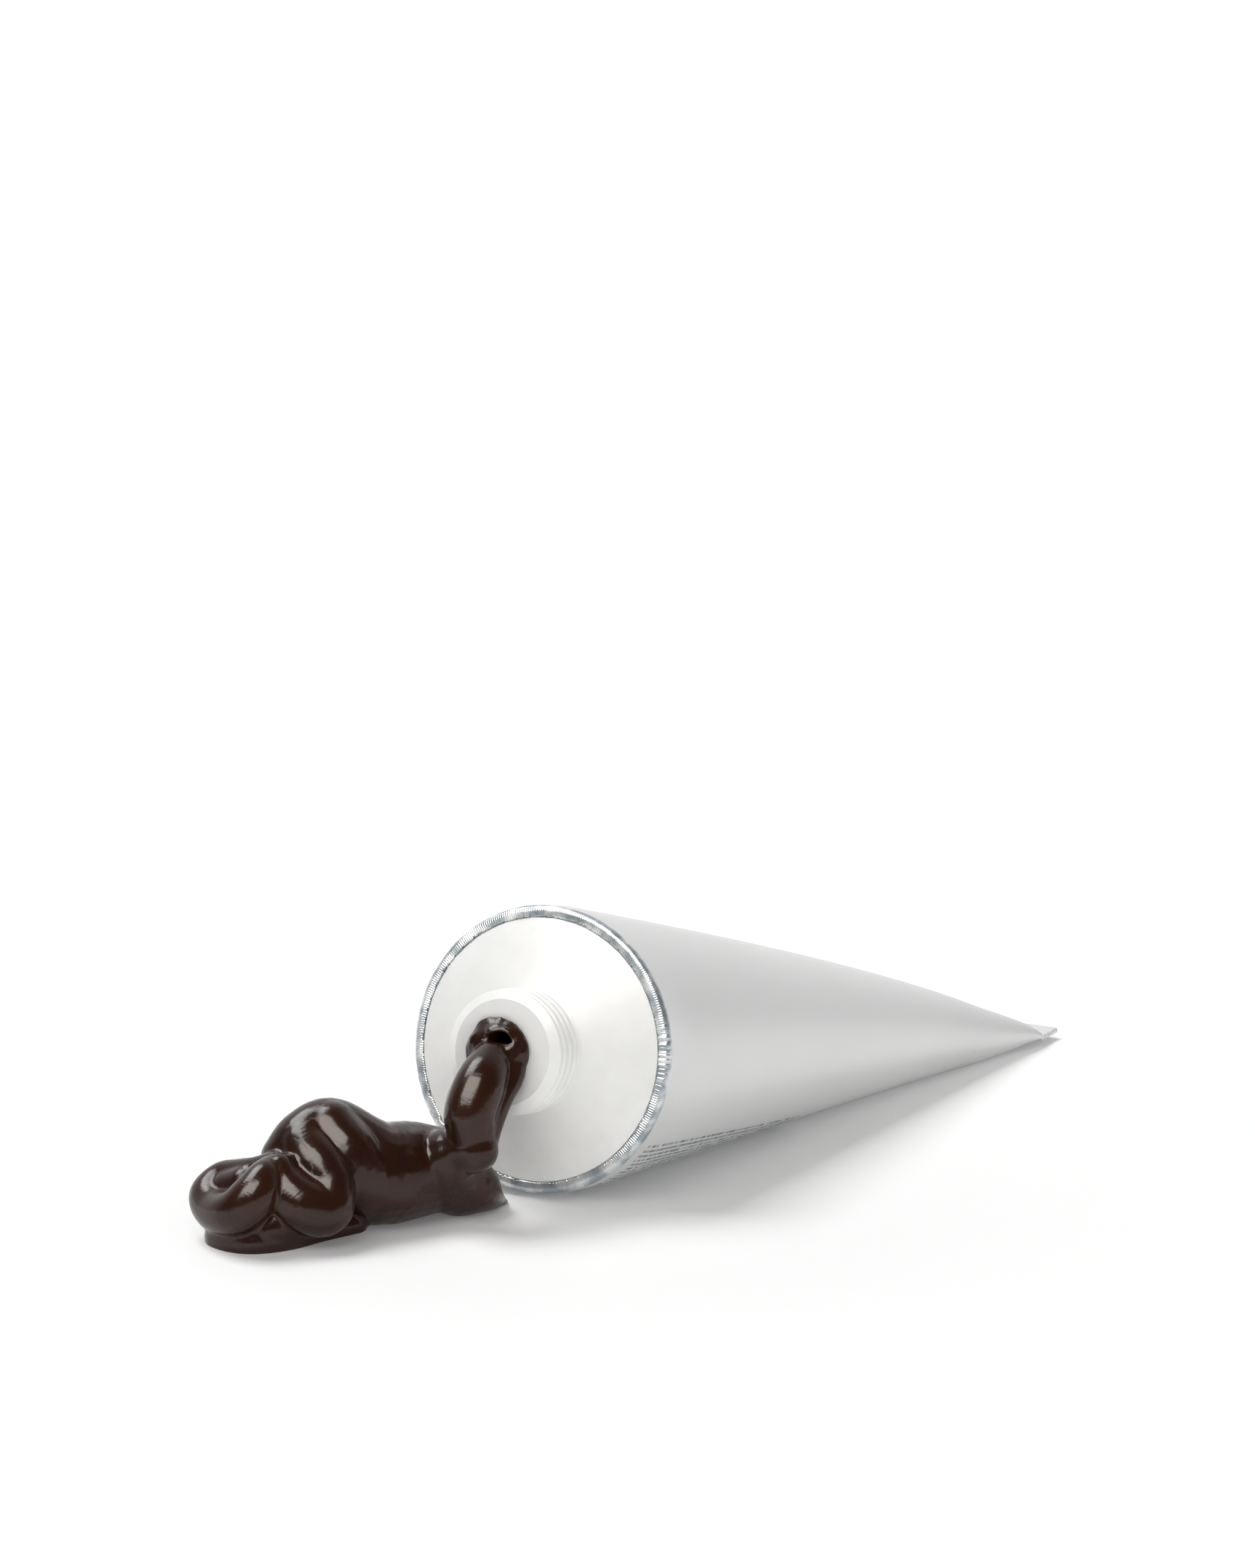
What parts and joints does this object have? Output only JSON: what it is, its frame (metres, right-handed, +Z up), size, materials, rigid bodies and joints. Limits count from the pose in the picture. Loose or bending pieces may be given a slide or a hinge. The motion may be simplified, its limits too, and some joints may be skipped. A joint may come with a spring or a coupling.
{
  "type": "leather cream tube",
  "caption": "Filled laminate tube without its cap, lying on its belly, with brown leather cream squeezed from the neck onto the surface.",
  "frame": {"origin": "on the floor under the tube's axis, on the flat of the belly where it becomes straight behind the shoulder", "axes": "+X from the neck towards the sealed tail, +Z up from the surface that the tube lies on, +Y to the side on which the cream lies"},
  "size_m": [0.155, 0.0634, 0.0398],
  "materials": {
    "laminate": "satin silver grey, printed plastic laminate",
    "white_plastic": "satin white moulded polyethylene",
    "brown_cream": "glossy dark brown cream, finely wrinkled"
  },
  "bodies": {
    "root": {"tube_sleeve": "laminate", "shoulder": "white_plastic", "cream": "brown_cream"}
  },
  "joints": []
}
